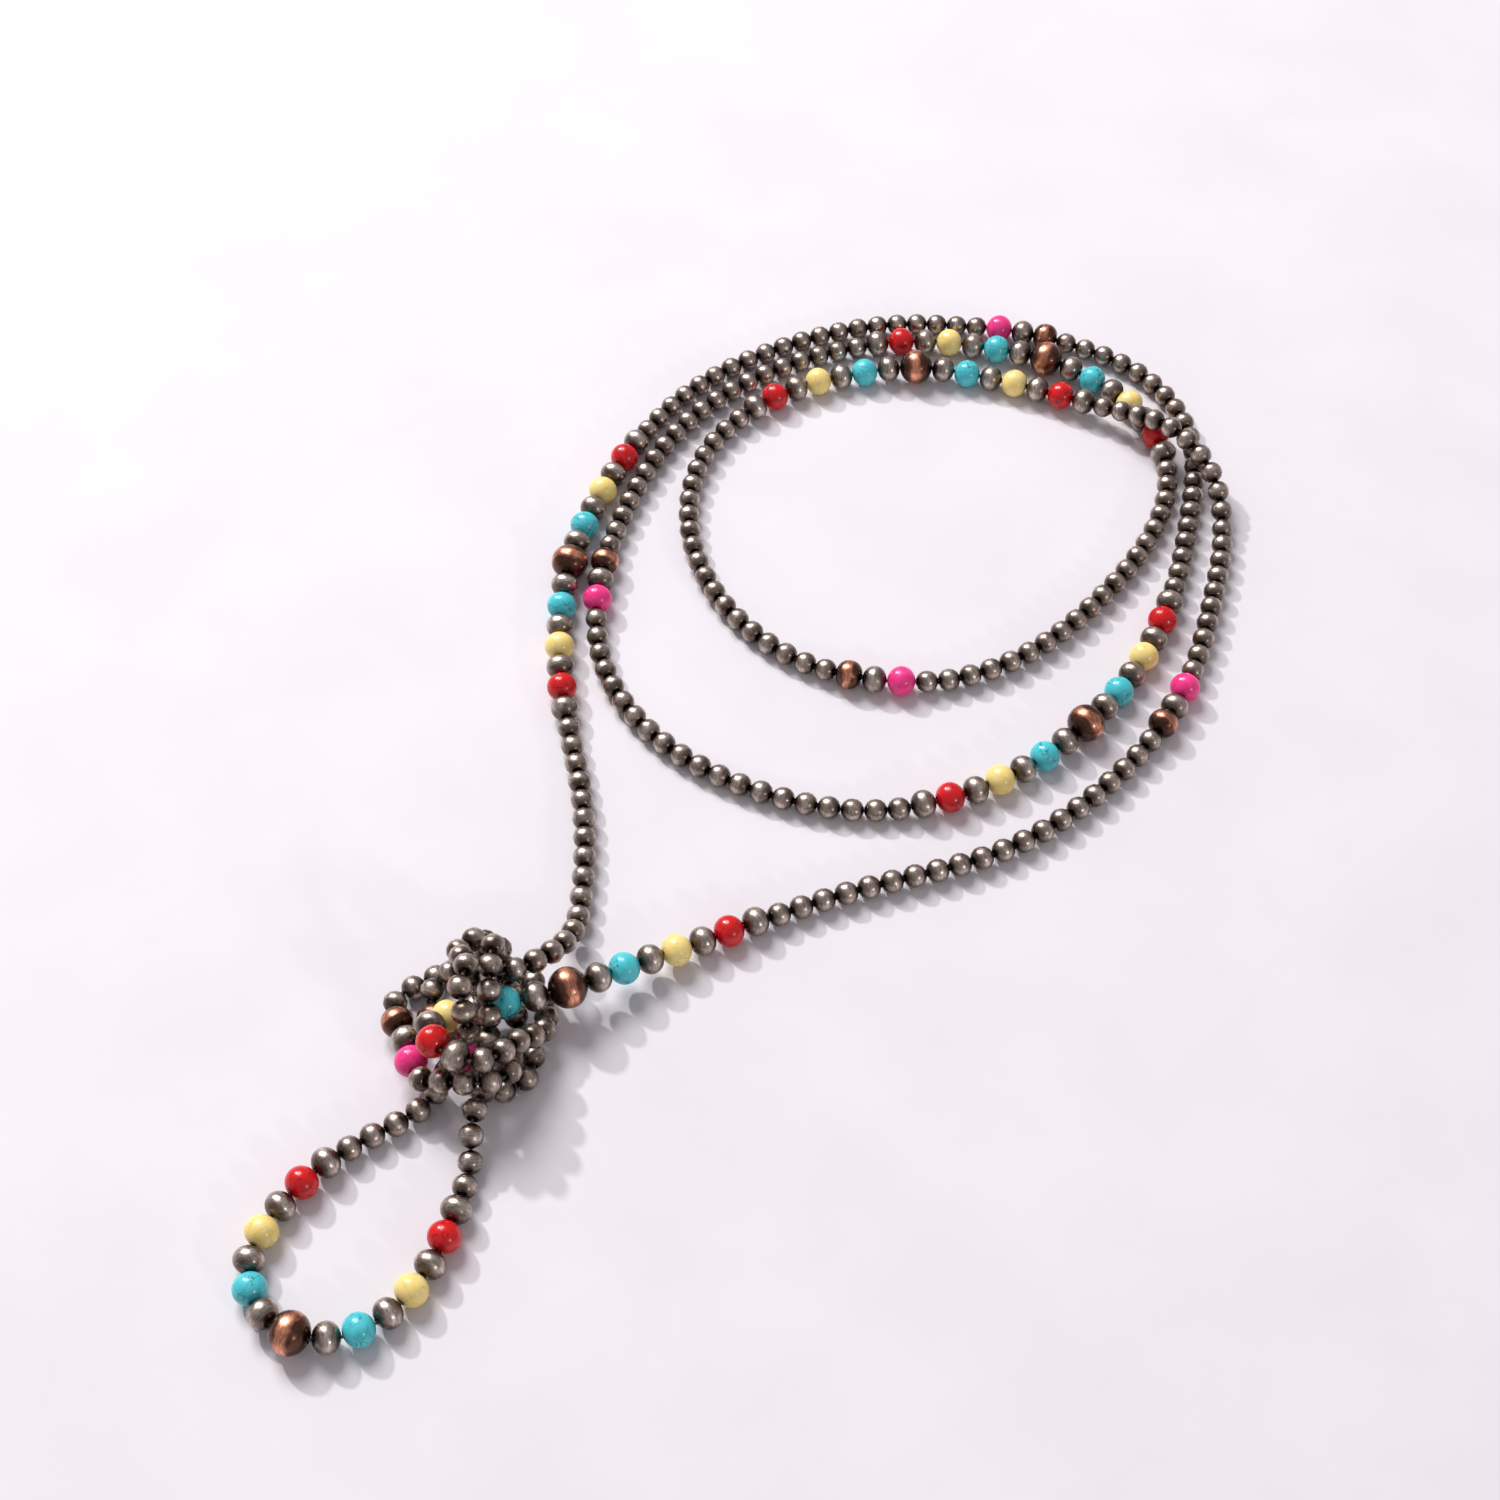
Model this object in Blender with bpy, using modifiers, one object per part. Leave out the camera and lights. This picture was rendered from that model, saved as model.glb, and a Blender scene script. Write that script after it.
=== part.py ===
# Beaded necklace: one endless string of beads laid down in three turns, its far end in a loose knot.
# Lengths are metres. X is to the right in the photograph, Y away from the camera, Z up.
# The small beads are a plain tube here; the string, its thread and its metal beads are one body in
# two nodes, and every stone bead is a drilled solid of its own, threaded on the string.

from collections import namedtuple
import math

import bpy
import numpy as np
from mathutils import Matrix, Vector

MM = 0.001

# Widest diameter and length along the thread of each sort of bead
SMALL_DIAMETER = 6.0 * MM
SMALL_LENGTH = 5.9 * MM
SILVER_DIAMETER = 7.4 * MM
SILVER_LENGTH = 6.5 * MM
COPPER_DIAMETER = 10.0 * MM
COPPER_LENGTH = 9.4 * MM
SPACER_DIAMETER = 7.8 * MM
SPACER_LENGTH = 7.0 * MM
STONE_DIAMETER = 7.9 * MM
STONE_LENGTH = 7.6 * MM

# Thread, bore and clearances
THREAD_DIAMETER = 0.8 * MM
BORE_DIAMETER = 2.0 * MM
NECK_DIAMETER = 3.0 * MM
STONE_END_CLEARANCE = 0.4 * MM
NODE_GAP = 0.3 * MM
TUBE_INSET = 0.1 * MM
BEAD_SAG = 0.6 * MM

# The order of the beads: a focal group, small beads, one pink stone, small beads, six times over
UNITS = 6
SMALL_PER_RUN = 20
SPLIT_BEFORE_RUN_END = 6
FOCAL_GROUP = ("silver red silver yellow silver turquoise silver copper "
               "silver turquoise silver yellow silver red silver").split()
PINK_GROUP = "pink silver spacer".split()

# How finely the solids are made
SIDES = 10
CURVE_STEP = 0.25 * MM
RING_TURN = math.radians(8.0)
RINGS_APART = 3

Bead = namedtuple("Bead", "diameter length")
BEADS = {
    "small": Bead(SMALL_DIAMETER, SMALL_LENGTH),
    "silver": Bead(SILVER_DIAMETER, SILVER_LENGTH),
    "copper": Bead(COPPER_DIAMETER, COPPER_LENGTH),
    "spacer": Bead(SPACER_DIAMETER, SPACER_LENGTH),
    "red": Bead(STONE_DIAMETER, STONE_LENGTH),
    "yellow": Bead(STONE_DIAMETER, STONE_LENGTH),
    "turquoise": Bead(STONE_DIAMETER, STONE_LENGTH),
    "pink": Bead(STONE_DIAMETER, STONE_LENGTH),
}
STONES = ("red", "yellow", "turquoise", "pink")

# Profiles: share of the half length from the middle, share of the radius
Station = namedtuple("Station", "along out")
METAL_PROFILES = {
    "silver": (Station(-0.55, 0.72), Station(0.0, 1.0), Station(0.55, 0.72)),
    "spacer": (Station(-0.7, 0.62), Station(-0.35, 0.92), Station(0.35, 0.92), Station(0.7, 0.62)),
    "copper": (Station(-0.8, 0.6), Station(-0.4, 0.92), Station(0.0, 1.0), Station(0.4, 0.92),
               Station(0.8, 0.6)),
}
STONE_PROFILE = (Station(0.85, 0.62), Station(0.45, 0.9), Station(0.0, 1.0), Station(-0.45, 0.9),
                 Station(-0.85, 0.62))
TUBE_END = Station(0.27, 0.8)

# The route of the string's middle, in millimetres (x, y, height). Height 3 lies on the floor.
# The first bead is at the first point, and the beads run on through the list.
ROUTE = (
    # Left and back of the outer turn
    (-58, 2, 3), (-59, 52, 3), (-45.5, 93, 3), (-29, 119, 3), (-0.5, 139.5, 3), (33.5, 149.5, 3),
    (70.5, 145, 3), (103, 129, 3),
    # Right of the outer turn, which comes forward inside the last strand
    (115.5, 102.5, 3), (112.5, 73.5, 3), (103, 39, 3), (82, 2, 3), (53.5, -21.5, 3),
    # Front, left and back of the middle turn
    (21.5, -30.5, 3), (-7.5, -24.5, 3), (-32, -9, 3), (-48, 15.5, 3), (-50.5, 47, 3), (-43.5, 77, 3),
    (-31, 104, 3), (-5.5, 128, 3), (28, 140.5, 3), (69.5, 135.5, 3), (99.5, 114.5, 3),
    # Right, front, left and back of the inner turn
    (107.5, 88.5, 3), (101.5, 66, 3), (85, 41.5, 3), (58, 18, 3), (29, 11, 3), (-1, 21.5, 3),
    (-20, 44, 3), (-27, 72.5, 3), (-20, 100.5, 3), (4, 121.5, 3), (46.5, 128.5, 3),
    # Over the two other turns at the back right
    (80, 117.5, 4.5), (96, 108, 7.5), (108, 96.5, 12.5), (118.5, 83, 8.5),
    # Right and front of the outermost strand
    (120.5, 66, 3), (115.5, 43, 3), (103.5, 8.5, 3), (81, -22, 3), (52.5, -43, 3), (19, -54, 3),
    # The focal group that climbs onto the knot and turns round its front left
    (-8.5, -64.5, 3), (-40, -80.5, 7.5), (-62, -91, 11), (-80, -96.5, 12), (-83, -105.5, 18.5),
    (-77, -111.5, 20), (-71, -113, 20),
    # Down the knot's right side, under its middle and along its front to the pink stone at its left
    (-63, -105, 15), (-58, -97.5, 7.5), (-59, -86.5, 3), (-61.5, -81.5, 3), (-74, -82, 3),
    (-76, -87.5, 3), (-74, -93, 3), (-65, -111, 11.5), (-68.5, -114.5, 13.5), (-80, -114, 12.5),
    (-85, -112, 10), (-90, -99.5, 6.5),
    # Behind the knot, over its top and down to the floor at its front
    (-94, -87.5, 3), (-84, -79.5, 3), (-78, -76.5, 3), (-74.5, -75, 5), (-74, -76.5, 14.5),
    (-78, -82, 17.5), (-75, -91, 25), (-76, -96.5, 25), (-74.5, -103, 22), (-74.5, -104.5, 17),
    (-77.5, -106.5, 12), (-82.5, -112, 3.5), (-86.5, -116.5, 3),
    # The hanging end: out to the front left and back to the knot
    (-96.5, -123, 3), (-118, -147, 3), (-120, -154, 3), (-109, -171.5, 3), (-94.5, -170.5, 3.5),
    (-75.5, -142, 3),
    # Up through the knot, over its top beside the first strand and down its right side at the back
    (-73, -125.5, 6), (-73, -121.5, 9), (-71, -114.5, 7), (-71.5, -109, 10), (-70.5, -103, 11.5),
    (-70, -94, 19), (-69.5, -81, 19), (-67.5, -82, 8.5), (-66.5, -86.5, 5), (-63, -96.5, 3),
    (-60.5, -105.5, 3), (-62, -108, 3), (-68, -111, 3), (-72.5, -108.5, 3),
    # Under the middle of the knot with the hidden pink stone, and up and out at its back right
    (-79.5, -97.5, 3.5), (-84.5, -92.5, 5.5), (-85, -87, 7), (-82, -83.5, 9.5), (-76, -84.5, 11.5),
    (-71, -87, 14.5), (-57.5, -78.5, 11),
    # The strand from the knot back to the first focal group
    (-51.5, -61, 3), (-51, -51, 3), (-52.5, -26, 3),
)

# Colour, roughness and metallic value of each material
Finish = namedtuple("Finish", "colour roughness metallic")
FINISHES = {
    "antique_silver": Finish((0.42, 0.39, 0.36), 0.38, 1.0),
    "red_stone": Finish((0.68, 0.007, 0.007), 0.25, 0.0),
    "yellow_stone": Finish((0.91, 0.68, 0.19), 0.25, 0.0),
    "turquoise_stone": Finish((0.013, 0.456, 0.515), 0.25, 0.0),
    "pink_stone": Finish((0.79, 0.013, 0.22), 0.25, 0.0),
}

# Emptying the file


def clear_file():
    for old in list(bpy.data.objects):
        bpy.data.objects.remove(old)


# Laying out the beads


def bead_order():
    """Name the sort of every bead in turn, from the first focal group on."""
    small_run = ["small"] * SMALL_PER_RUN
    return (FOCAL_GROUP + small_run + PINK_GROUP + small_run) * UNITS


def closed_curve(points):
    """Return a dense closed line along the smooth curve through the points."""
    spans = np.linalg.norm(np.roll(points, -1, axis=0) - points, axis=1)
    count = len(points)
    system = np.zeros((count, count))
    bends = np.zeros((count, 3))
    for i in range(count):
        before = (i - 1) % count
        after = (i + 1) % count
        system[i, before] += spans[before]
        system[i, i] += 2 * (spans[before] + spans[i])
        system[i, after] += spans[i]
        slope_on = (points[after] - points[i]) / spans[i]
        slope_back = (points[i] - points[before]) / spans[before]
        bends[i] = 6 * (slope_on - slope_back)
    second = np.linalg.solve(system, bends)
    pieces = []
    for i in range(count):
        after = (i + 1) % count
        span = spans[i]
        steps = max(2, round(span / CURVE_STEP))
        done = np.linspace(0, span, steps, endpoint=False)[:, None]
        left = span - done
        cubic = (second[i] * left ** 3 + second[after] * done ** 3) / (6 * span)
        start_share = (points[i] / span - second[i] * span / 6) * left
        end_share = (points[after] / span - second[after] * span / 6) * done
        pieces.append(cubic + start_share + end_share)
    line = np.vstack(pieces)
    line[:, 2] = np.maximum(line[:, 2], SMALL_DIAMETER / 2)
    return line


def step_along(line, at, point, distance):
    """Walk on from a point to the one that lies a straight distance away, past line[at]."""
    reach = len(line) // 20
    ahead = line[(at + 1 + np.arange(reach)) % len(line)]
    first = int(np.argmax(np.linalg.norm(ahead - point, axis=1) >= distance))
    near = line[(at + first) % len(line)]
    along = ahead[first] - near
    offset = near - point
    a = along @ along
    b = 2 * (offset @ along)
    c = offset @ offset - distance ** 2
    share = (math.sqrt(max(b * b - 4 * a * c, 0)) - b) / (2 * a)
    share = min(max(share, 0.0), 1.0)
    return at + first, share, near + along * share


def lay_beads(line, spacings):
    """Lay the beads evenly along the closed line, so that the last one meets the first."""
    low = 0.8
    high = 1.25
    for _ in range(30):
        scale = (low + high) / 2
        at = 0
        point = line[0]
        centres = []
        for spacing in spacings:
            centres.append(point)
            at, share, point = step_along(line, at, point, spacing * scale)
        if at + share < len(line):
            low = scale
        else:
            high = scale
    return np.array(centres)


def rest_on_floor(centres, radii):
    """Lift each bead to the floor, and its neighbours as far as the thread lifts them."""
    least = radii.copy()
    for away in (1, 2):
        for turn in (-away, away):
            least = np.maximum(least, np.roll(radii, turn) - away * BEAD_SAG)
    centres[:, 2] = np.maximum(centres[:, 2], least)


def lay_out():
    """Return each bead's sort, centre, direction and the thread point before and after it."""
    sorts = bead_order()
    radii = np.array([BEADS[sort].diameter / 2 for sort in sorts])
    lengths = np.array([BEADS[sort].length for sort in sorts])
    line = closed_curve(np.array(ROUTE) * MM)
    centres = lay_beads(line, (lengths + np.roll(lengths, -1)) / 2)
    rest_on_floor(centres, radii)
    reach = radii[:, None]
    middle = ((centres - reach).min(axis=0) + (centres + reach).max(axis=0)) / 2
    centres[:, :2] -= middle[:2]
    ahead = np.roll(centres, -1, axis=0)
    directions = ahead - np.roll(centres, 1, axis=0)
    directions /= np.linalg.norm(directions, axis=1)[:, None]
    onward = np.roll(directions, -1, axis=0)
    cosine = np.clip((directions * onward).sum(axis=1), -1, 1)
    half_bend = np.cos(np.arccos(cosine) / 2)
    spacing = np.linalg.norm(ahead - centres, axis=1) / half_bend
    share = lengths / (lengths + np.roll(lengths, -1))
    from_this = centres + directions * (spacing * share)[:, None]
    from_next = ahead - onward * (spacing * (1 - share))[:, None]
    after = (from_this + from_next) / 2
    before = np.roll(after, 1, axis=0)
    return sorts, centres, directions, before, after


# The string: thread, small beads and metal beads in one body


def metal_rings(sort, centre, before, after):
    """Rings of one metal bead, as (point, radius) along the thread."""
    radius = BEADS[sort].diameter / 2
    half = (after - before) / 2
    return [(centre + half * station.along, radius * station.out) for station in METAL_PROFILES[sort]]


def joint_ring(point, sort, next_sort):
    """The ring between two beads: the bare thread at a stone, or a neck between metal beads."""
    if sort in STONES or next_sort in STONES:
        return point, THREAD_DIAMETER / 2
    return point, NECK_DIAMETER / 2


def small_rings(number, layout, since, heading):
    """Rings of one small bead: an end ring beside a stone, and a middle ring where it is needed."""
    sorts, centres, directions, before, after = layout
    radius = SMALL_DIAMETER / 2 - TUBE_INSET
    previous_sort = sorts[number - 1]
    next_sort = sorts[(number + 1) % len(sorts)]
    rings = []
    length = SMALL_LENGTH
    if previous_sort in STONES:
        rings.append((before[number] + directions[number] * length * TUBE_END.along / 2,
                      radius * TUBE_END.out))
    edge = previous_sort != "small" or next_sort != "small"
    turned = heading is None or heading.angle(Vector(directions[number])) > RING_TURN
    if edge or turned or since >= RINGS_APART:
        rings.append((centres[number], radius))
    if next_sort in STONES:
        rings.append((after[number] - directions[number] * length * TUBE_END.along / 2,
                      radius * TUBE_END.out))
    return rings


def string_rings(layout, first, count):
    """Rings of the string through a stretch of beads that starts and ends in a small bead."""
    sorts, centres, directions, before, after = layout
    tube_radius = SMALL_DIAMETER / 2 - TUBE_INSET
    cut_radius = tube_radius * TUBE_END.out
    total = len(sorts)
    last = (first + count - 1) % total
    rings = [(before[first] + directions[first] * NODE_GAP / 2, cut_radius)]
    rings.append((centres[first], tube_radius))
    heading = Vector(directions[first])
    since = 1
    for number in range(first, first + count):
        i = number % total
        next_sort = sorts[(i + 1) % total]
        added = []
        if sorts[i] == "small" and i != first:
            added = small_rings(i, layout, since, heading)
        elif sorts[i] in METAL_PROFILES:
            added = metal_rings(sorts[i], centres[i], before[i], after[i])
        if added:
            heading = Vector(directions[i])
            since = 0
        since += 1
        rings.extend(added)
        if i != last and (sorts[i] != "small" or next_sort != "small"):
            rings.append(joint_ring(after[i], sorts[i], next_sort))
    if since > 1:
        rings.append((centres[last], tube_radius))
    rings.append((after[last] - directions[last] * NODE_GAP / 2, cut_radius))
    return rings


def build_string(name, rings, material, collection):
    """Sweep one closed body through the rings."""
    curve = bpy.data.curves.new(name, "CURVE")
    curve.dimensions = "3D"
    curve.bevel_mode = "ROUND"
    curve.bevel_depth = 1.0
    curve.bevel_resolution = (SIDES - 4) // 2
    curve.use_fill_caps = True
    spline = curve.splines.new("POLY")
    spline.points.add(len(rings) - 1)
    for point, (place, radius) in zip(spline.points, rings):
        point.co = (*place, 1.0)
        point.radius = radius
    curve.materials.append(material)
    string = bpy.data.objects.new(name, curve)
    collection.objects.link(string)


def build_strings(layout, material, collection):
    """Build the string as two nodes that meet in the middle of a run of small beads."""
    total = len(layout[0])
    half = total // 2
    end = total - SPLIT_BEFORE_RUN_END
    build_string("bead_string_turns", string_rings(layout, end, half), material, collection)
    build_string("bead_string_knot", string_rings(layout, end - half, half), material, collection)


# The stone beads


def stone_profile(half_length):
    """The closed outline of a drilled stone, from its top down its outer side and up the bore."""
    radius = STONE_DIAMETER / 2
    outline = [(BORE_DIAMETER / 2, half_length)]
    for station in STONE_PROFILE:
        outline.append((radius * station.out, half_length * station.along))
    outline.append((BORE_DIAMETER / 2, -half_length))
    return outline


def build_stone(name, half_length, matrix, material, collection):
    """Turn one drilled stone about the thread."""
    outline = stone_profile(half_length)
    count = len(outline)
    mesh = bpy.data.meshes.new(name)
    edges = [(i, (i + 1) % count) for i in range(count)]
    mesh.from_pydata([(x, 0.0, z) for x, z in outline], edges, [])
    mesh.materials.append(material)
    stone = bpy.data.objects.new(name, mesh)
    collection.objects.link(stone)
    turn = stone.modifiers.new("Turn", "SCREW")
    turn.axis = "Z"
    turn.steps = SIDES
    turn.render_steps = SIDES
    turn.use_merge_vertices = True
    turn.merge_threshold = 0.00001
    turn.use_smooth_shade = False
    stone.matrix_world = matrix


def build_stones(layout, materials, collection):
    """Thread every stone bead on the string, numbered within its colour."""
    sorts, centres, directions, before, after = layout
    numbers = dict.fromkeys(STONES, 0)
    for sort, centre, start, end in zip(sorts, centres, before, after):
        if sort not in STONES:
            continue
        numbers[sort] += 1
        name = f"{sort}_stone_{numbers[sort]}"
        along = Vector(end - start)
        half_length = along.length / 2 - STONE_END_CLEARANCE
        turn = along.to_track_quat("Z", "Y").to_matrix().to_4x4()
        matrix = Matrix.Translation(Vector(centre)) @ turn
        build_stone(name, half_length, matrix, materials[f"{sort}_stone"], collection)


# Materials and the collection


def make_material(name, finish):
    material = bpy.data.materials.new(name)
    material.use_nodes = True
    shader = material.node_tree.nodes["Principled BSDF"]
    shader.inputs["Base Color"].default_value = (*finish.colour, 1.0)
    shader.inputs["Roughness"].default_value = finish.roughness
    shader.inputs["Metallic"].default_value = finish.metallic
    material.diffuse_color = (*finish.colour, 1.0)
    return material


def make_collection(name):
    collection = bpy.data.collections.new(name)
    bpy.context.scene.collection.children.link(collection)
    return collection


def build():
    clear_file()
    collection = make_collection("beaded_necklace")
    materials = {name: make_material(name, finish) for name, finish in FINISHES.items()}
    layout = lay_out()
    build_strings(layout, materials["antique_silver"], collection)
    build_stones(layout, materials, collection)


build()
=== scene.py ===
# Beaded necklace: one endless string of beads lying in three turns, its far end in a loose knot.
# Lengths are metres. X is to the right in the photograph, Y away from the camera, Z up.

import math
from collections import namedtuple

import bpy
import numpy as np
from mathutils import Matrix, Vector


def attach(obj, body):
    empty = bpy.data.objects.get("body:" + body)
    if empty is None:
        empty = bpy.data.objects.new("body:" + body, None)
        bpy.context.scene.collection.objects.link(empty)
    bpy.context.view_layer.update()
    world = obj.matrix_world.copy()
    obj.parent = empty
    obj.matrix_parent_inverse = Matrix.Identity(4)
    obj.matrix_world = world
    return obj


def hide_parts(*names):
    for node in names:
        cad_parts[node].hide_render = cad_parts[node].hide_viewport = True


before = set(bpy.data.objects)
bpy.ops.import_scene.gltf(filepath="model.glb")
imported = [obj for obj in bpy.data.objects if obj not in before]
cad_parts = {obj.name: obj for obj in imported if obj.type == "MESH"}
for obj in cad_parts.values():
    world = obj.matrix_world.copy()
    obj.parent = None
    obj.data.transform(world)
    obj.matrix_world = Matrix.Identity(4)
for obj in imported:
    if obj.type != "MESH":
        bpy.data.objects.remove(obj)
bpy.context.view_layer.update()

MM = 0.001


# The lay of the string
#
# The real necklace is one endless thread with 348 beads in six like stretches. It lies by its own
# weight in three loose turns, and its far end is wound into a knot with a small hanging loop.
# The beads are laid out here as they are in the solids, each by its own length along the route.

Bead = namedtuple("Bead", "diameter length")
STONE = Bead(7.9 * MM, 7.6 * MM)
BEADS = {
    "small": Bead(6.0 * MM, 5.9 * MM),
    "silver": Bead(7.4 * MM, 6.5 * MM),
    "copper": Bead(10.0 * MM, 9.4 * MM),
    "spacer": Bead(7.8 * MM, 7.0 * MM),
    "red": STONE,
    "yellow": STONE,
    "turquoise": STONE,
    "pink": STONE,
}
UNITS = 6
SMALL_PER_RUN = 20
FOCAL_GROUP = ("silver red silver yellow silver turquoise silver copper "
               "silver turquoise silver yellow silver red silver").split()
PINK_GROUP = "pink silver spacer".split()

# How finely the route is drawn, and how far a neighbour of a large bead may hang below it
CURVE_STEP = 0.25 * MM
BEAD_SAG = 0.6 * MM

# The next bead is looked for within one of this many parts of the route. The beads' spacing is
# fitted between a least and a most share of their lengths, until the last bead meets the first
SEARCH_PARTS = 20
LEAST_SPACING = 0.8
MOST_SPACING = 1.25
SPACING_TRIES = 30

# The route of the string's middle, in millimetres (x, y, height). Height 3 lies on the floor.
# The first bead is at the first point, and the beads run on through the list.
ROUTE = (
    # Left and back of the outer turn
    (-58, 2, 3), (-59, 52, 3), (-45.5, 93, 3), (-29, 119, 3), (-0.5, 139.5, 3), (33.5, 149.5, 3),
    (70.5, 145, 3), (103, 129, 3),
    # Right of the outer turn, which comes forward inside the last strand
    (115.5, 102.5, 3), (112.5, 73.5, 3), (103, 39, 3), (82, 2, 3), (53.5, -21.5, 3),
    # Front, left and back of the middle turn
    (21.5, -30.5, 3), (-7.5, -24.5, 3), (-32, -9, 3), (-48, 15.5, 3), (-50.5, 47, 3),
    (-43.5, 77, 3), (-31, 104, 3), (-5.5, 128, 3), (28, 140.5, 3), (69.5, 135.5, 3),
    (99.5, 114.5, 3),
    # Right, front, left and back of the inner turn
    (107.5, 88.5, 3), (101.5, 66, 3), (85, 41.5, 3), (58, 18, 3), (29, 11, 3), (-1, 21.5, 3),
    (-20, 44, 3), (-27, 72.5, 3), (-20, 100.5, 3), (4, 121.5, 3), (46.5, 128.5, 3),
    # Over the two other turns at the back right
    (80, 117.5, 4.5), (96, 108, 7.5), (108, 96.5, 12.5), (118.5, 83, 8.5),
    # Right and front of the outermost strand
    (120.5, 66, 3), (115.5, 43, 3), (103.5, 8.5, 3), (81, -22, 3), (52.5, -43, 3), (19, -54, 3),
    # The focal group that climbs onto the knot and turns round its front left
    (-8.5, -64.5, 3), (-40, -80.5, 7.5), (-62, -91, 11), (-80, -96.5, 12), (-83, -105.5, 18.5),
    (-77, -111.5, 20), (-71, -113, 20),
    # Down the knot's right side, under its middle and along its front to the pink stone at its left
    (-63, -105, 15), (-58, -97.5, 7.5), (-59, -86.5, 3), (-61.5, -81.5, 3), (-74, -82, 3),
    (-76, -87.5, 3), (-74, -93, 3), (-65, -111, 11.5), (-68.5, -114.5, 13.5), (-80, -114, 12.5),
    (-85, -112, 10), (-90, -99.5, 6.5),
    # Behind the knot, over its top and down to the floor at its front
    (-94, -87.5, 3), (-84, -79.5, 3), (-78, -76.5, 3), (-74.5, -75, 5), (-74, -76.5, 14.5),
    (-78, -82, 17.5), (-75, -91, 25), (-76, -96.5, 25), (-74.5, -103, 22), (-74.5, -104.5, 17),
    (-77.5, -106.5, 12), (-82.5, -112, 3.5), (-86.5, -116.5, 3),
    # The hanging end: out to the front left and back to the knot
    (-96.5, -123, 3), (-118, -147, 3), (-120, -154, 3), (-109, -171.5, 3), (-94.5, -170.5, 3.5),
    (-75.5, -142, 3),
    # Up through the knot, over its top beside the first strand and down its right side at the back
    (-73, -125.5, 6), (-73, -121.5, 9), (-71, -114.5, 7), (-71.5, -109, 10), (-70.5, -103, 11.5),
    (-70, -94, 19), (-69.5, -81, 19), (-67.5, -82, 8.5), (-66.5, -86.5, 5), (-63, -96.5, 3),
    (-60.5, -105.5, 3), (-62, -108, 3), (-68, -111, 3), (-72.5, -108.5, 3),
    # Under the middle of the knot with the hidden pink stone, and up and out at its back right
    (-79.5, -97.5, 3.5), (-84.5, -92.5, 5.5), (-85, -87, 7), (-82, -83.5, 9.5), (-76, -84.5, 11.5),
    (-71, -87, 14.5), (-57.5, -78.5, 11),
    # The strand from the knot back to the first focal group
    (-51.5, -61, 3), (-51, -51, 3), (-52.5, -26, 3),
)


def bead_order():
    """Name the sort of every bead in turn, from the first focal group on."""
    small_run = ["small"] * SMALL_PER_RUN
    return (FOCAL_GROUP + small_run + PINK_GROUP + small_run) * UNITS


def closed_curve(points):
    """Return a dense closed line along the smooth curve through the points."""
    spans = np.linalg.norm(np.roll(points, -1, axis=0) - points, axis=1)
    count = len(points)
    system = np.zeros((count, count))
    bends = np.zeros((count, 3))
    for i in range(count):
        before = (i - 1) % count
        after = (i + 1) % count
        system[i, before] += spans[before]
        system[i, i] += 2 * (spans[before] + spans[i])
        system[i, after] += spans[i]
        slope_on = (points[after] - points[i]) / spans[i]
        slope_back = (points[i] - points[before]) / spans[before]
        bends[i] = 6 * (slope_on - slope_back)
    second = np.linalg.solve(system, bends)
    pieces = []
    for i in range(count):
        after = (i + 1) % count
        span = spans[i]
        steps = max(2, round(span / CURVE_STEP))
        done = np.linspace(0, span, steps, endpoint=False)[:, None]
        left = span - done
        cubic = (second[i] * left ** 3 + second[after] * done ** 3) / (6 * span)
        start_share = (points[i] / span - second[i] * span / 6) * left
        end_share = (points[after] / span - second[after] * span / 6) * done
        pieces.append(cubic + start_share + end_share)
    line = np.vstack(pieces)
    line[:, 2] = np.maximum(line[:, 2], BEADS["small"].diameter / 2)
    return line


def step_along(line, at, point, distance):
    """Walk on from a point to the one that lies a straight distance away, past line[at]."""
    reach = len(line) // SEARCH_PARTS
    ahead = line[(at + 1 + np.arange(reach)) % len(line)]
    first = int(np.argmax(np.linalg.norm(ahead - point, axis=1) >= distance))
    near = line[(at + first) % len(line)]
    along = ahead[first] - near
    offset = near - point
    a = along @ along
    b = 2 * (offset @ along)
    c = offset @ offset - distance ** 2
    share = (math.sqrt(max(b * b - 4 * a * c, 0)) - b) / (2 * a)
    share = min(max(share, 0.0), 1.0)
    return at + first, share, near + along * share


def lay_beads(line, spacings):
    """Lay the beads evenly along the closed line, so that the last one meets the first."""
    low = LEAST_SPACING
    high = MOST_SPACING
    for _ in range(SPACING_TRIES):
        scale = (low + high) / 2
        at = 0
        point = line[0]
        centres = []
        for spacing in spacings:
            centres.append(point)
            at, share, point = step_along(line, at, point, spacing * scale)
        if at + share < len(line):
            low = scale
        else:
            high = scale
    return np.array(centres)


def rest_on_floor(centres, radii):
    """Lift each bead to the floor, and its neighbours as far as the thread lifts them."""
    least = radii.copy()
    for away in (1, 2):
        for turn in (-away, away):
            least = np.maximum(least, np.roll(radii, turn) - away * BEAD_SAG)
    centres[:, 2] = np.maximum(centres[:, 2], least)


Layout = namedtuple("Layout", "sorts centres before after bends middle")


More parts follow.
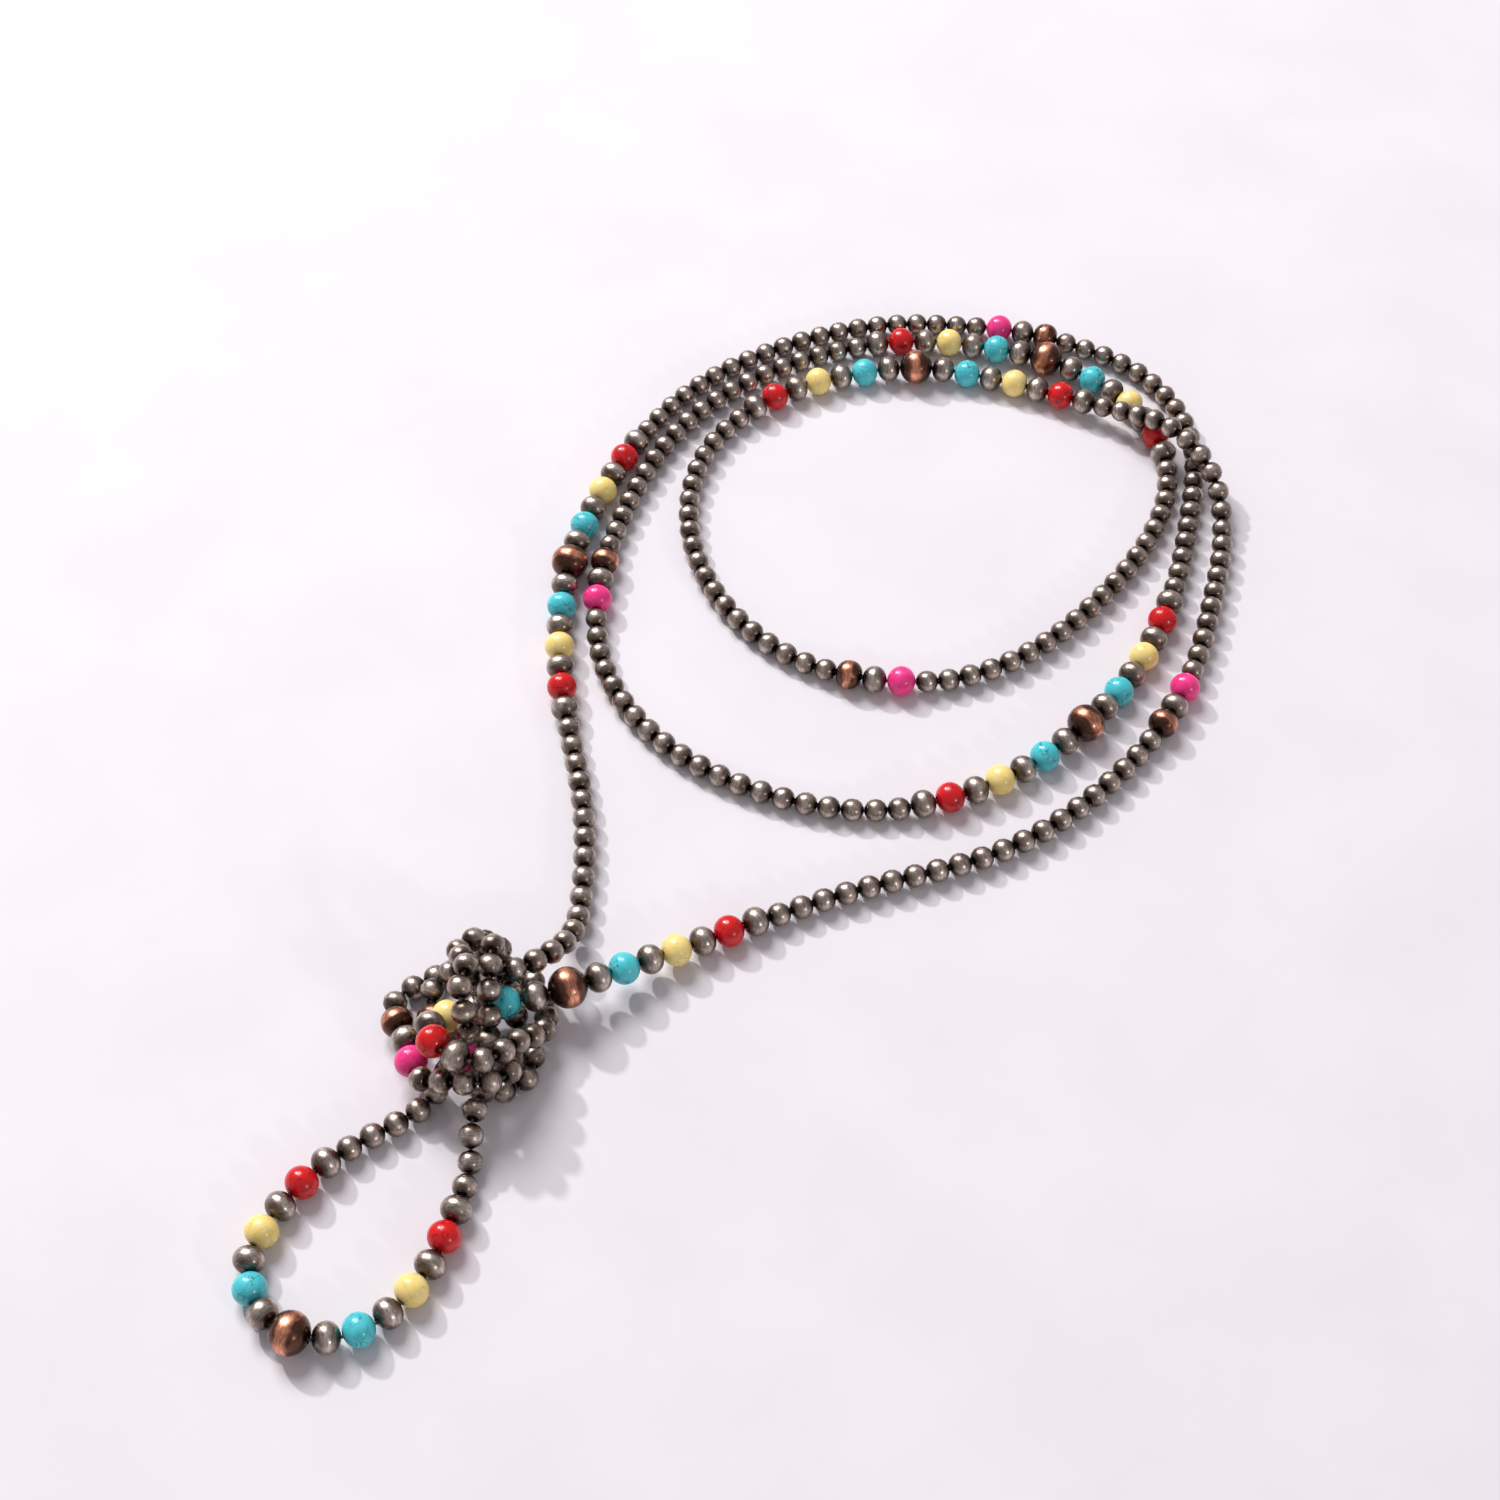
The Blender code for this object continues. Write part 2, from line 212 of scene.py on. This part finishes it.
def lay_out():
    """Return the beads' sorts, centres, thread points on each side and bends to the next bead."""
    sorts = bead_order()
    radii = np.array([BEADS[sort].diameter / 2 for sort in sorts])
    lengths = np.array([BEADS[sort].length for sort in sorts])
    line = closed_curve(np.array(ROUTE) * MM)
    centres = lay_beads(line, (lengths + np.roll(lengths, -1)) / 2)
    rest_on_floor(centres, radii)
    reach = radii[:, None]
    middle = ((centres - reach).min(axis=0) + (centres + reach).max(axis=0)) / 2
    centres[:, :2] -= middle[:2]
    ahead = np.roll(centres, -1, axis=0)
    directions = ahead - np.roll(centres, 1, axis=0)
    directions /= np.linalg.norm(directions, axis=1)[:, None]
    onward = np.roll(directions, -1, axis=0)
    bends = np.arccos(np.clip((directions * onward).sum(axis=1), -1, 1))
    spacing = np.linalg.norm(ahead - centres, axis=1) / np.cos(bends / 2)
    share = lengths / (lengths + np.roll(lengths, -1))
    from_this = centres + directions * (spacing * share)[:, None]
    from_next = ahead - onward * (spacing * (1 - share))[:, None]
    after = (from_this + from_next) / 2
    before = np.roll(after, 1, axis=0)
    return Layout(sorts, centres, before, after, bends, middle)


LAYOUT = lay_out()


# The thread
#
# A dark waxed beading thread 0.8 mm thick runs through every bead and is tied inside one of them.
# It only shows where two beads stand open in a bend.

THREAD_RADIUS = 0.4 * MM
THREAD_SIDES = 8
THREAD_DARK = (0.035, 0.03, 0.027, 1)
THREAD_PALE = (0.11, 0.1, 0.09, 1)
THREAD_ROUGHNESS = 0.6
PLY_SCALE = 2500.0


def add_node(tree, kind, inputs=None, **settings):
    """Add a node, with its settings and with each input given a value or a link."""
    node = tree.nodes.new(kind)
    for name, value in settings.items():
        setattr(node, name, value)
    for key, value in (inputs or {}).items():
        if isinstance(value, bpy.types.NodeSocket):
            tree.links.new(value, node.inputs[key])
        else:
            node.inputs[key].default_value = value
    return node


def link_all(tree, node, values):
    """Link each value to the node's input of that name."""
    for name, value in values.items():
        tree.links.new(value, node.inputs[name])


def add_math(tree, operation, first, second=0.0):
    return add_node(tree, "ShaderNodeMath", {0: first, 1: second}, operation=operation).outputs[0]


def add_vector_math(tree, operation, first, second):
    node = add_node(tree, "ShaderNodeVectorMath", {0: first, 1: second}, operation=operation)
    return node.outputs[0]


def add_noise(tree, place, scale, detail, roughness=0.5):
    """Return a noise texture's node. Its first output is the value and its second the colour."""
    inputs = {"Vector": place, "Scale": scale, "Detail": detail, "Roughness": roughness}
    return add_node(tree, "ShaderNodeTexNoise", inputs)


def ramp(tree, value, low, high, start=0.0, end=1.0):
    """Spread the values between low and high smoothly over the given range."""
    inputs = {"Value": value, "From Min": low, "From Max": high, "To Min": start, "To Max": end}
    node = add_node(tree, "ShaderNodeMapRange", inputs, interpolation_type="SMOOTHSTEP")
    return node.outputs["Result"]


def blend(tree, share, first, second):
    """Mix two colours. The node's inputs 6 and 7 and its output 2 are the ones for colours."""
    node = add_node(tree, "ShaderNodeMix", {0: share, 6: first, 7: second}, data_type="RGBA")
    return node.outputs[2]


def new_material(name):
    """Return a new material with its node tree and its shader."""
    material = bpy.data.materials.new(name)
    material.use_nodes = True
    return material, material.node_tree, material.node_tree.nodes["Principled BSDF"]


def make_geometry_tree(name, inputs):
    """Return a Geometry Nodes tree with named inputs, its input node and its output node."""
    tree = bpy.data.node_groups.new(name, "GeometryNodeTree")
    tree.interface.new_socket("Geometry", in_out="INPUT", socket_type="NodeSocketGeometry")
    for label, kind in inputs.items():
        tree.interface.new_socket(label, in_out="INPUT", socket_type=kind)
    tree.interface.new_socket("Geometry", in_out="OUTPUT", socket_type="NodeSocketGeometry")
    return tree, tree.nodes.new("NodeGroupInput"), tree.nodes.new("NodeGroupOutput")


def make_with_nodes(piece, tree, values):
    """Run a Geometry Nodes tree on a piece and keep what it makes as the piece's own mesh."""
    modifier = piece.modifiers.new(tree.name, "NODES")
    modifier.node_group = tree
    for item in tree.interface.items_tree:
        if item.in_out == "INPUT" and item.name in values:
            modifier[item.identifier] = values[item.name]
    depsgraph = bpy.context.evaluated_depsgraph_get()
    made = bpy.data.meshes.new_from_object(piece.evaluated_get(depsgraph),
                                           preserve_all_data_layers=True, depsgraph=depsgraph)
    piece.modifiers.clear()
    piece.data = made
    made.name = piece.name


def link_piece(name, data):
    """Put an object with the given mesh, light or camera in the scene."""
    piece = bpy.data.objects.new(name, data)
    bpy.context.scene.collection.objects.link(piece)
    return piece


def thread_tree():
    """Geometry Nodes that sweep a round thread along a closed line of edges."""
    tree, start, end = make_geometry_tree("Swept thread", {"Radius": "NodeSocketFloat",
                                                           "Sides": "NodeSocketInt",
                                                           "Material": "NodeSocketMaterial"})
    curve = add_node(tree, "GeometryNodeMeshToCurve", {"Mesh": start.outputs["Geometry"]})
    circle = add_node(tree, "GeometryNodeCurvePrimitiveCircle",
                      {"Radius": start.outputs["Radius"], "Resolution": start.outputs["Sides"]})
    sweep = add_node(tree, "GeometryNodeCurveToMesh",
                     {"Curve": curve.outputs[0], "Profile Curve": circle.outputs[0]})
    finish = add_node(tree, "GeometryNodeSetMaterial",
                      {"Geometry": sweep.outputs[0], "Material": start.outputs["Material"]})
    tree.links.new(finish.outputs[0], end.inputs["Geometry"])
    return tree


def thread_material():
    """Waxed thread: dark grey, twisted plies seen as a fine mottle."""
    material, tree, shader = new_material("waxed_thread")
    place = add_node(tree, "ShaderNodeTexCoord").outputs["Object"]
    share = ramp(tree, add_noise(tree, place, PLY_SCALE, 2.0).outputs[0], 0.35, 0.65)
    link_all(tree, shader, {"Base Color": blend(tree, share, THREAD_DARK, THREAD_PALE)})
    shader.inputs["Roughness"].default_value = THREAD_ROUGHNESS
    return material


def build_thread():
    """Draw the thread through the middle of each bead and the joint after it."""
    points = np.empty((len(LAYOUT.sorts) * 2, 3))
    points[0::2] = LAYOUT.centres
    points[1::2] = LAYOUT.after
    count = len(points)
    line = bpy.data.meshes.new("thread")
    line.from_pydata(points.tolist(), [(i, (i + 1) % count) for i in range(count)], [])
    thread = link_piece("thread", line)
    make_with_nodes(thread, thread_tree(), {"Radius": THREAD_RADIUS, "Sides": THREAD_SIDES,
                                            "Material": thread_material()})
    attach(thread, "root")


build_thread()


# The small beads
#
# Nearly round beads 6 mm across, of plated plastic or base metal with a dark antiqued finish that
# is rubbed pale round the middle, where a painted sheen also lightens it. 240 of them in runs of
# twenty carry the groups between them.

# Few faces, because there are hundreds of these beads
SMALL_SIDES = 12
SMALL_BANDS = 6

# All beads have the same bore. Metal beads nearly touch, and stone beads have a little more room
BORE = 1.6 * MM
METAL_CLEARANCE = 0.03 * MM
STONE_CLEARANCE = 0.12 * MM
STRING_SOLIDS = ("bead_string_turns", "bead_string_knot")

# The seed of each sort's random draws: how far a bead is rolled about the thread and which part
# of the pattern it shows
SEEDS = {"small": 11, "silver": 12, "copper": 13, "spacer": 14,
         "red": 20, "yellow": 21, "turquoise": 22, "pink": 23}

# The pattern is moved this far from bead to bead, and its scratches lie closer along the bead
# than round it
WEAR_SHIFT = 90.0
SCRATCH_STRETCH = (2.0, 2.0, 11.0)
SCRATCH_DEPTH = 0.05 * MM
METAL_COAT = 0.35
METAL_COAT_ROUGHNESS = 0.07


def turned_bead(name, diameter, bore, sides, bands, fullness=1.0):
    """One drilled bead about Z, from -1 to 1 along it. Fullness over 1 squares its shoulders."""
    radius = diameter / 2
    bore_radius = bore / 2
    edge_angle = math.acos((bore_radius / radius) ** fullness)
    outline = []
    for i in range(bands + 1):
        angle = edge_angle * (2 * i / bands - 1)
        out = radius * math.cos(angle) ** (1 / fullness)
        outline.append((out, math.sin(angle) / math.sin(edge_angle)))
    rings = len(outline)
    places = []
    faces = []
    for out, along in outline:
        for side in range(sides):
            turn = 2 * math.pi * side / sides
            places.append((out * math.cos(turn), out * math.sin(turn), along))
    for ring in range(rings):
        for side in range(sides):
            across = (side + 1) % sides
            above = (ring + 1) % rings
            faces.append((ring * sides + side, ring * sides + across,
                          above * sides + across, above * sides + side))
    mesh = bpy.data.meshes.new(name)
    mesh.from_pydata(places, [], faces)
    smooth = [True] * (len(faces) - sides) + [False] * sides
    mesh.polygons.foreach_set("use_smooth", smooth)
    mesh.update()
    place = mesh.attributes.new("bead_place", "FLOAT_VECTOR", "POINT")
    for entry, (x, y, z) in zip(place.data, places):
        entry.vector = (x / radius, y / radius, z)
    return mesh


def threading_tree():
    """Geometry Nodes that thread a copy of one bead on every point, along its direction."""
    tree, start, end = make_geometry_tree("Threaded beads", {"Bead": "NodeSocketObject",
                                                             "Seed": "NodeSocketInt",
                                                             "Material": "NodeSocketMaterial"})
    chance = add_node(tree, "FunctionNodeRandomValue", {"Seed": start.outputs["Seed"]},
                      data_type="FLOAT")
    marked = add_node(tree, "GeometryNodeStoreNamedAttribute",
                      {"Geometry": start.outputs["Geometry"], "Name": "chance",
                       "Value": chance.outputs[1]}, data_type="FLOAT", domain="POINT")
    direction = add_node(tree, "GeometryNodeInputNamedAttribute", {"Name": "direction"},
                         data_type="FLOAT_VECTOR")
    half_length = add_node(tree, "GeometryNodeInputNamedAttribute", {"Name": "half_length"},
                           data_type="FLOAT")
    aligned = add_node(tree, "FunctionNodeAlignRotationToVector", {"Vector": direction.outputs[0]},
                       axis="Z")
    roll = add_math(tree, "MULTIPLY", chance.outputs[1], 2 * math.pi)
    euler = add_node(tree, "ShaderNodeCombineXYZ", {"Z": roll})
    about = add_node(tree, "FunctionNodeEulerToRotation", {0: euler.outputs[0]})
    turned = add_node(tree, "FunctionNodeRotateRotation",
                      {0: aligned.outputs[0], 1: about.outputs[0]}, rotation_space="LOCAL")
    size = add_node(tree, "ShaderNodeCombineXYZ", {"X": 1.0, "Y": 1.0, "Z": half_length.outputs[0]})
    bead = add_node(tree, "GeometryNodeObjectInfo", {"Object": start.outputs["Bead"]})
    copies = add_node(tree, "GeometryNodeInstanceOnPoints",
                      {"Points": marked.outputs[0], "Instance": bead.outputs["Geometry"],
                       "Rotation": turned.outputs[0], "Scale": size.outputs[0]})
    real = add_node(tree, "GeometryNodeRealizeInstances", {0: copies.outputs[0]})
    finish = add_node(tree, "GeometryNodeSetMaterial",
                      {"Geometry": real.outputs[0], "Material": start.outputs["Material"]})
    tree.links.new(finish.outputs[0], end.inputs["Geometry"])
    return tree


THREADING = threading_tree()


def bend_room():
    """How far the rim of each bead's bore would dip into its neighbour where the string bends."""
    tightest = np.maximum(LAYOUT.bends, np.roll(LAYOUT.bends, 1))
    return BORE / 2 * np.sin(tightest / 2)


def thread_beads(name, sort, bead_mesh, material, clearance, nodes):
    """Put every bead of one sort on the string as one piece, in place of its solids."""
    chosen = [i for i, each in enumerate(LAYOUT.sorts) if each == sort]
    lines = (LAYOUT.after - LAYOUT.before)[chosen]
    lengths = np.linalg.norm(lines, axis=1)
    points = bpy.data.meshes.new(name)
    points.from_pydata(LAYOUT.centres[chosen].tolist(), [], [])
    direction = points.attributes.new("direction", "FLOAT_VECTOR", "POINT")
    direction.data.foreach_set("vector", (lines / lengths[:, None]).ravel())
    half_length = points.attributes.new("half_length", "FLOAT", "POINT")
    half_length.data.foreach_set("value", lengths / 2 - clearance - bend_room()[chosen])
    piece = link_piece(name, points)
    bead = link_piece(name + "_bead", bead_mesh)
    make_with_nodes(piece, THREADING, {"Bead": bead, "Seed": SEEDS[sort], "Material": material})
    bpy.data.objects.remove(bead)
    for spent in ("direction", "half_length"):
        piece.data.attributes.remove(piece.data.attributes[spent])
    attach(piece, "root")
    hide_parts(*nodes)


def make_shader_group(name, labels):
    """Return a shader group with the named outputs, and its output node."""
    tree = bpy.data.node_groups.new(name, "ShaderNodeTree")
    for label in labels:
        tree.interface.new_socket(label, in_out="OUTPUT", socket_type="NodeSocketFloat")
    return tree, tree.nodes.new("NodeGroupOutput")


def pattern_place(tree, reach):
    """Return a bead's own place and chance, and its place moved for a pattern of its own."""
    place = add_node(tree, "ShaderNodeAttribute", attribute_name="bead_place").outputs["Vector"]
    chance = add_node(tree, "ShaderNodeAttribute", attribute_name="chance").outputs["Fac"]
    shift = add_math(tree, "MULTIPLY", chance, reach)
    return place, chance, add_vector_math(tree, "ADD", place, shift)


def about_zero(tree, value, breadth):
    """Spread a value between 0 and 1 about zero, over the given breadth."""
    return add_math(tree, "MULTIPLY", add_math(tree, "SUBTRACT", value, 0.5), breadth)


def wear_group():
    """What every turned metal bead shows: scratches round it, mottle, blotches, ends and relief."""
    tree, end = make_shader_group("Turned and rubbed metal",
                                  ("Scratches", "Mottle", "Blotches", "Along", "Height"))
    place, chance, own = pattern_place(tree, WEAR_SHIFT)
    fine = add_vector_math(tree, "MULTIPLY", own, SCRATCH_STRETCH)
    lines = add_noise(tree, fine, 1.0, 3.0).outputs[0]
    grain = add_noise(tree, own, 5.5, 3.0, 0.6).outputs[0]
    broad = add_noise(tree, own, 1.3, 2.0).outputs[0]
    pits = add_noise(tree, own, 18.0, 2.0).outputs[0]
    # How far from the bead's middle, with an edge that sways round each bead and from bead to bead
    height_along = add_node(tree, "ShaderNodeSeparateXYZ", {0: place}).outputs["Z"]
    sway = add_math(tree, "ADD", about_zero(tree, chance, 0.2), about_zero(tree, broad, 0.7))
    along = add_math(tree, "ABSOLUTE", add_math(tree, "ADD", height_along, sway))
    height = add_math(tree, "ADD", add_math(tree, "MULTIPLY", lines, 0.6),
                      add_math(tree, "MULTIPLY", pits, 0.4))
    link_all(tree, end, {"Scratches": ramp(tree, lines, 0.36, 0.66),
                         "Mottle": ramp(tree, grain, 0.26, 0.7),
                         "Blotches": ramp(tree, broad, 0.36, 0.64),
                         "Along": along,
                         "Height": height})
    return tree


WEAR = wear_group()

PatinaAndSheen = namedtuple("PatinaAndSheen", "dark middle pale band_start band_end bump")


def metal_material(name, patina):
    """Antiqued metal: pale round the middle, partly rubbed wear and partly painted sheen, dark
    towards the bores.
    """
    material, tree, shader = new_material(name)
    wear = add_node(tree, "ShaderNodeGroup", node_tree=WEAR)
    along = wear.outputs["Along"]
    mottle = wear.outputs["Mottle"]
    ends = add_math(tree, "MULTIPLY", ramp(tree, along, 0.48, 0.98),
                    ramp(tree, mottle, 0.0, 1.0, 1.0, 0.6))
    # The pale band round the middle is partly rubbed wear and partly a painted highlight: a painted
    # sheen in place of the brushed metal's streaked reflection.
    band = add_math(tree, "MULTIPLY", ramp(tree, along, patina.band_end, patina.band_start),
                    ramp(tree, wear.outputs["Blotches"], 0.0, 1.0, 0.6, 1.0))
    tarnish = blend(tree, ends, patina.middle, patina.dark)
    rubbed_and_sheen = blend(tree, band, tarnish, patina.pale)
    lined = ramp(tree, wear.outputs["Scratches"], 0.0, 1.0, 0.0, 0.45)
    grimed = add_math(tree, "MAXIMUM", lined, ramp(tree, mottle, 0.5, 0.0, 0.0, 0.32))
    raised = add_node(tree, "ShaderNodeBump", {"Strength": patina.bump, "Distance": SCRATCH_DEPTH,
                                               "Height": wear.outputs["Height"]})
    link_all(tree, shader, {"Base Color": blend(tree, grimed, rubbed_and_sheen, patina.dark),
                            "Roughness": ramp(tree, mottle, 0.0, 1.0, 0.27, 0.4),
                            "Normal": raised.outputs[0]})
    shader.inputs["Metallic"].default_value = 1.0
    shader.inputs["Coat Weight"].default_value = METAL_COAT
    shader.inputs["Coat Roughness"].default_value = METAL_COAT_ROUGHNESS
    return material


small_bead = turned_bead("small_bead", BEADS["small"].diameter, BORE, SMALL_SIDES, SMALL_BANDS)
small_metal = metal_material("antiqued_pewter", PatinaAndSheen(
    dark=(0.05, 0.033, 0.023, 1), middle=(0.2, 0.148, 0.117, 1), pale=(0.66, 0.555, 0.482, 1),
    band_start=0.05, band_end=0.7, bump=0.22))
thread_beads("small_beads", "small", small_bead, small_metal, METAL_CLEARANCE,
             STRING_SOLIDS)


# The silver-toned beads
#
# Slightly larger and flatter than the small beads, of the same antiqued metal, they stand between
# all the stones of a group.

SILVER_SIDES = 20
SILVER_BANDS = 10

silver_bead = turned_bead("silver_bead", BEADS["silver"].diameter, BORE, SILVER_SIDES, SILVER_BANDS)
silver_metal = metal_material("antiqued_silver", PatinaAndSheen(
    dark=(0.055, 0.036, 0.027, 1), middle=(0.22, 0.168, 0.136, 1), pale=(0.72, 0.62, 0.54, 1),
    band_start=0.05, band_end=0.68, bump=0.22))
thread_beads("silver_beads", "silver", silver_bead, silver_metal, METAL_CLEARANCE,
             STRING_SOLIDS)


# The copper-toned beads and spacers
#
# One large round copper-plated bead is in the middle of each focal group and one smaller spacer
# follows each pink stone. The plating is rubbed bright round the middle, made brighter there by a
# painted sheen, and nearly black at the ends.

COPPER_SIDES = 28
COPPER_BANDS = 14
SPACER_FULLNESS = 1.25

copper_metal = metal_material("antiqued_copper", PatinaAndSheen(
    dark=(0.03, 0.013, 0.009, 1), middle=(0.13, 0.05, 0.03, 1), pale=(0.95, 0.4, 0.24, 1),
    band_start=0.16, band_end=0.44, bump=0.2))
copper_bead = turned_bead("copper_bead", BEADS["copper"].diameter, BORE, COPPER_SIDES, COPPER_BANDS)
thread_beads("copper_beads", "copper", copper_bead, copper_metal, METAL_CLEARANCE,
             STRING_SOLIDS)
spacer_bead = turned_bead("spacer_bead", BEADS["spacer"].diameter, BORE, COPPER_SIDES,
                          COPPER_BANDS, SPACER_FULLNESS)
thread_beads("copper_spacers", "spacer", spacer_bead, copper_metal, METAL_CLEARANCE,
             STRING_SOLIDS)


# The stone beads
#
# Polished round beads of dyed howlite 8 mm across, drilled through and threaded. The stone's thin
# veins stay darker than the dye. Each colour is one piece that stands for its own solids.

STONE_SIDES = 28
STONE_BANDS = 14
VEIN_SHIFT = 70.0
VEIN_WANDER = (0.4, 0.4, 0.4)
VEIN_DEPTH = 0.04 * MM
VEIN_BUMP = 0.3

Dye = namedtuple("Dye", "body cloud vein vein_share")
DYES = {
    "red": Dye((0.7, 0.006, 0.008, 1), (0.55, 0.004, 0.006, 1), (0.05, 0.004, 0.004, 1), 0.8),
    "yellow": Dye((0.93, 0.7, 0.21, 1), (0.93, 0.75, 0.3, 1), (0.4, 0.24, 0.06, 1), 0.35),
    "turquoise": Dye((0.055, 0.53, 0.6, 1), (0.09, 0.61, 0.67, 1), (0.03, 0.035, 0.03, 1), 0.65),
    "pink": Dye((0.9, 0.028, 0.225, 1), (0.92, 0.052, 0.28, 1), (0.4, 0.006, 0.1, 1), 0.35),
}


def vein_group():
    """Thin branching veins and soft clouds of a dyed stone, different in every bead."""
    tree, end = make_shader_group("Veined stone", ("Veins", "Clouds", "Height"))
    own = pattern_place(tree, VEIN_SHIFT)[2]
    # The veins are the borders of wavy cells, kept thin and shown only here and there
    wander = add_noise(tree, own, 3.0, 1.5).outputs[1]
    bent = add_vector_math(tree, "MULTIPLY", wander, VEIN_WANDER)
    warped = add_vector_math(tree, "ADD", own, bent)
    cracks = add_node(tree, "ShaderNodeTexVoronoi", {"Vector": warped, "Scale": 1.15},
                      feature="DISTANCE_TO_EDGE")
    thin = ramp(tree, cracks.outputs["Distance"], 0.03, 0.012)
    some = ramp(tree, add_noise(tree, own, 1.1, 1.0).outputs[0], 0.46, 0.53)
    veins = add_math(tree, "MULTIPLY", thin, some)
    clouds = ramp(tree, add_noise(tree, own, 1.7, 4.0).outputs[0], 0.34, 0.66)
    height = add_math(tree, "SUBTRACT", 1.0, veins)
    link_all(tree, end, {"Veins": veins, "Clouds": clouds, "Height": height})
    return tree


VEINS = vein_group()


def stone_material(name, dye):
    """Polished dyed stone with darker veins."""
    material, tree, shader = new_material(name)
    veined = add_node(tree, "ShaderNodeGroup", node_tree=VEINS)
    clouds = veined.outputs["Clouds"]
    body = blend(tree, clouds, dye.body, dye.cloud)
    share = add_math(tree, "MULTIPLY", veined.outputs["Veins"], dye.vein_share)
    raised = add_node(tree, "ShaderNodeBump", {"Strength": VEIN_BUMP, "Distance": VEIN_DEPTH,
                                               "Height": veined.outputs["Height"]})
    link_all(tree, shader, {"Base Color": blend(tree, share, body, dye.vein),
                            "Roughness": ramp(tree, clouds, 0.0, 1.0, 0.2, 0.27),
                            "Normal": raised.outputs[0]})
    return material


stone_bead = turned_bead("stone_bead", STONE.diameter, BORE, STONE_SIDES, STONE_BANDS)
for colour_name, dye in DYES.items():
    solids = [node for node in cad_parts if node.startswith(f"{colour_name}_stone_")]
    thread_beads(f"{colour_name}_stones", colour_name, stone_bead,
                 stone_material(f"{colour_name}_dyed_stone", dye), STONE_CLEARANCE,
                 solids)


# The floor
#
# A plain flat surface that the necklace lies on, of matt pale card, with a faint unevenness in its
# tone. It reaches past the edges of the picture on every side.

FLOOR_SIZE = 4.0
FLOOR_DARK = (0.722, 0.692, 0.722, 1)
FLOOR_PALE = (0.755, 0.725, 0.752, 1)
FLOOR_ROUGHNESS = 0.7
STAIN_SCALE = 22.0


def build_floor():
    half = FLOOR_SIZE / 2
    mesh = bpy.data.meshes.new("floor")
    mesh.from_pydata([(-half, -half, 0), (half, -half, 0), (half, half, 0), (-half, half, 0)], [],
                     [(0, 1, 2, 3)])
    material, tree, shader = new_material("pale_floor")
    place = add_node(tree, "ShaderNodeTexCoord").outputs["Object"]
    share = ramp(tree, add_noise(tree, place, STAIN_SCALE, 5.0).outputs[0], 0.3, 0.7)
    link_all(tree, shader, {"Base Color": blend(tree, share, FLOOR_DARK, FLOOR_PALE)})
    shader.inputs["Roughness"].default_value = FLOOR_ROUGHNESS
    mesh.materials.append(material)
    link_piece("floor", mesh)


build_floor()


# Light and camera
#
# A key light from the upper left at the back throws the shadows to the lower right. A broad lamp
# overhead and an even pale surround fill them, and a small lamp in front adds a glint to each bead.
# The camera looks down at 52 degrees from in front, and is placed by the route's own origin.

CAMERA_ACROSS = -10.0 * MM
CAMERA_BACK = -390.0 * MM
CAMERA_HEIGHT = 487.83 * MM
CAMERA_DOWN = math.radians(52.0)
CAMERA_LENS = 57.6
CAMERA_NEAREST = 0.01

Lamp = namedtuple("Lamp", "place power size colour")
LAMPS = {
    "key": Lamp((-2.4, 2.9, 3.0), 116.0, 0.24, (1.0, 0.99, 0.98)),
    "overhead": Lamp((-0.7, 1.4, 2.1), 46.0, 1.2, (0.98, 0.97, 1.0)),
    "front": Lamp((1.84, -2.1, 1.14), 10.0, 0.2, (1.0, 0.98, 0.96)),
}
SURROUND_COLOUR = (0.95, 0.9, 0.95, 1)
SURROUND_STRENGTH = 0.4


def add_lamp(name, lamp):
    """Hang a round soft lamp at its place, turned to the middle of the necklace."""
    light = bpy.data.lights.new(name, "AREA")
    light.shape = "DISK"
    light.size = lamp.size
    light.energy = lamp.power
    light.color = lamp.colour
    holder = link_piece(name, light)
    holder.location = lamp.place
    holder.rotation_euler = (-Vector(lamp.place)).to_track_quat("-Z", "Y").to_euler()


def set_surround():
    world = bpy.data.worlds.new("surround")
    world.use_nodes = True
    background = world.node_tree.nodes["Background"]
    background.inputs["Color"].default_value = SURROUND_COLOUR
    background.inputs["Strength"].default_value = SURROUND_STRENGTH
    bpy.context.scene.world = world


def place_camera():
    """Place the camera, allowing for how far the route was moved to put its middle at zero."""
    lens = bpy.data.cameras.new("camera")
    lens.lens = CAMERA_LENS
    lens.clip_start = CAMERA_NEAREST
    camera = link_piece("camera", lens)
    across, back = LAYOUT.middle[:2]
    camera.location = (CAMERA_ACROSS - across, CAMERA_BACK - back, CAMERA_HEIGHT)
    camera.rotation_euler = (math.pi / 2 - CAMERA_DOWN, 0.0, 0.0)
    bpy.context.scene.camera = camera


for lamp_name, lamp in LAMPS.items():
    add_lamp(lamp_name, lamp)
set_surround()
place_camera()
bpy.context.scene.view_settings.view_transform = "Standard"
